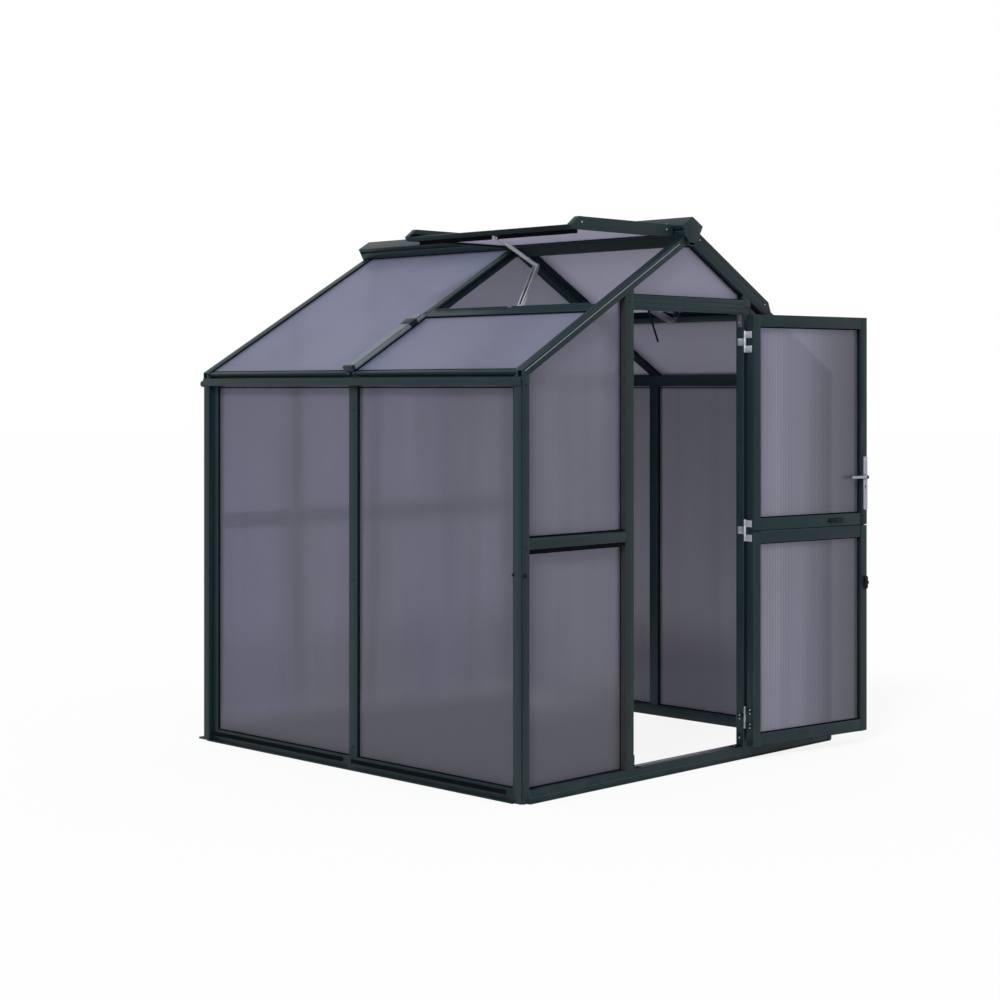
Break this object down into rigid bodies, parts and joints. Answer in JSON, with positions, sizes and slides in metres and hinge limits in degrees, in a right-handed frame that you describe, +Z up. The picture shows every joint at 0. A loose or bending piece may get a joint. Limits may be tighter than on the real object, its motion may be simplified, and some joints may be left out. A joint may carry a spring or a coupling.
{
  "type": "greenhouse",
  "caption": "Small gable-roofed greenhouse of coated metal bars and twin-wall sheets, with a stable door and ridge-hinged roof vents on folding openers.",
  "frame": {"origin": "on the ground under the outer face of the front gable, at the middle of the door sill", "axes": "+Z up, +Y from the front gable to the rear gable, +X to the side with the door hinges"},
  "size_m": [2.0195, 2.186, 2.2438],
  "materials": {
    "green_frame": "dark green powder coat",
    "sheet": "ribbed twin-wall sheet, hazy",
    "zinc_steel": "zinc plated",
    "satin_metal": "satin",
    "arm_metal": "bare, rolled",
    "black_plastic": "moulded"
  },
  "bodies": {
    "house": {"base_rail_front": "green_frame", "base_rail_left": "green_frame", "base_rail_rear": "green_frame", "base_rail_right": "green_frame", "corner_post_front_left": "green_frame", "corner_post_front_right": "green_frame", "corner_post_rear_left": "green_frame", "corner_post_rear_right": "green_frame", "door_lintel": "green_frame", "door_post_left": "green_frame", "door_post_right": "green_frame", "doorway_corner_angles": "zinc_steel", "eave_gutter_left": "green_frame", "eave_gutter_right": "green_frame", "front_gable_sheets": "sheet", "front_mid_rails": "green_frame", "gable_rafter_front_left": "green_frame", "gable_rafter_front_right": "green_frame", "gable_rafter_rear_left": "green_frame", "gable_rafter_rear_right": "green_frame", "hinge_pins": "zinc_steel", "hinge_post_plates": "zinc_steel", "middle_rafter_left": "green_frame", "middle_rafter_right": "green_frame", "opener_sill_brackets": "arm_metal", "rear_gable_posts": "green_frame", "rear_gable_sheets": "sheet", "rear_mid_rails": "green_frame", "ridge_beam": "green_frame", "ridge_end_caps": "green_frame", "roof_edge_trims": "green_frame", "roof_sheets_left": "sheet", "roof_sheets_right": "sheet", "side_mullion_left": "green_frame", "side_mullion_right": "green_frame", "strike_plate": "zinc_steel", "vent_sill_left": "green_frame", "vent_sill_right": "green_frame", "wall_sheets_left": "sheet", "wall_sheets_right": "sheet"},
    "upper_door": {"upper_leaf_frame": "green_frame", "upper_leaf_sheet": "sheet", "upper_leaf_hinges": "zinc_steel", "lock_plates": "satin_metal"},
    "lower_door": {"lower_leaf_frame": "green_frame", "lower_leaf_sheet": "sheet", "lower_leaf_hinges": "zinc_steel"},
    "lever": {"lever_handles": "satin_metal"},
    "bolt": {"latch_bolt": "zinc_steel"},
    "coupler": {"leaf_coupler": "black_plastic"},
    "lower_latch": {"turn_latch": "black_plastic"},
    "left_vent": {"vent_frame_left": "green_frame", "vent_sheet_left": "sheet"},
    "right_vent": {"vent_frame_right": "green_frame", "vent_sheet_right": "sheet"},
    "left_lower_arm": {"opener_lower_arm_left": "arm_metal"},
    "left_upper_arm": {"opener_upper_arm_left": "arm_metal"},
    "right_lower_arm": {"opener_lower_arm_right": "arm_metal"},
    "right_upper_arm": {"opener_upper_arm_right": "arm_metal"}
  },
  "joints": [
    {"name": "upper_door_swing", "type": "hinge", "parent": "house", "child": "upper_door", "pos_m": [0.342, -0.013, 1.4], "axis": [0, 0, 1], "range_deg": [-172, 4]},
    {"name": "lower_door_swing", "type": "hinge", "parent": "house", "child": "lower_door", "pos_m": [0.342, -0.013, 0.5], "axis": [0, 0, 1], "range_deg": [-172, 4]},
    {"name": "lever_turn", "type": "hinge", "parent": "upper_door", "child": "lever", "pos_m": [1.00367, -0.11912, 1.161], "axis": [-0.1392, -0.9903, 0], "range_deg": [0, 40], "stiffness_Nm_per_rad": 0.8, "springref_deg": -22.92},
    {"name": "bolt_slide", "type": "slide", "parent": "upper_door", "child": "bolt", "axis": [-0.9903, 0.1392, 0], "range_m": [0, 0.01]},
    {"name": "coupler_turn", "type": "hinge", "parent": "upper_door", "child": "coupler", "pos_m": [0.81886, -0.13354, 0.979], "axis": [-0.1392, -0.9903, 0], "range_deg": [0, 90]},
    {"name": "lower_latch_turn", "type": "hinge", "parent": "lower_door", "child": "lower_latch", "pos_m": [1.00107, -0.15915, 0.702], "axis": [-0.1392, -0.9903, 0], "range_deg": [0, 90]},
    {"name": "left_vent_swing", "type": "hinge", "parent": "house", "child": "left_vent", "pos_m": [-0.04668, 0.506, 2.19065], "axis": [0, 1, 0], "range_deg": [-30, 0]},
    {"name": "right_vent_swing", "type": "hinge", "parent": "house", "child": "right_vent", "pos_m": [0.04668, 0.506, 2.19065], "axis": [0, -1, 0], "range_deg": [0, 30]},
    {"name": "left_lower_arm_fold", "type": "hinge", "parent": "house", "child": "left_lower_arm", "pos_m": [-0.48639, 0.506, 1.84325], "axis": [0, 1, 0], "range_deg": [0, 43]},
    {"name": "left_upper_arm_fold", "type": "hinge", "parent": "left_vent", "child": "left_upper_arm", "pos_m": [-0.60118, 0.506, 2.15365], "axis": [0, 1, 0], "range_deg": [-3.8, 0]},
    {"name": "right_lower_arm_fold", "type": "hinge", "parent": "house", "child": "right_lower_arm", "pos_m": [0.48639, 0.506, 1.84325], "axis": [0, -1, 0], "range_deg": [-43, 0]},
    {"name": "right_upper_arm_fold", "type": "hinge", "parent": "right_vent", "child": "right_upper_arm", "pos_m": [0.50839, 0.506, 1.88136], "axis": [0, -1, 0], "range_deg": [0, 3.8]}
  ],
  "couplings": [
    {"joint": "bolt_slide", "follows": "lever_turn", "m_per_rad": 0.014324},
    {"joint": "left_lower_arm_fold", "follows": "left_vent_swing", "ratio": -1.4289},
    {"joint": "left_upper_arm_fold", "follows": "left_vent_swing", "ratio": 0.12239},
    {"joint": "right_lower_arm_fold", "follows": "right_vent_swing", "ratio": -1.4289},
    {"joint": "right_upper_arm_fold", "follows": "right_vent_swing", "ratio": 0.12239}
  ]
}
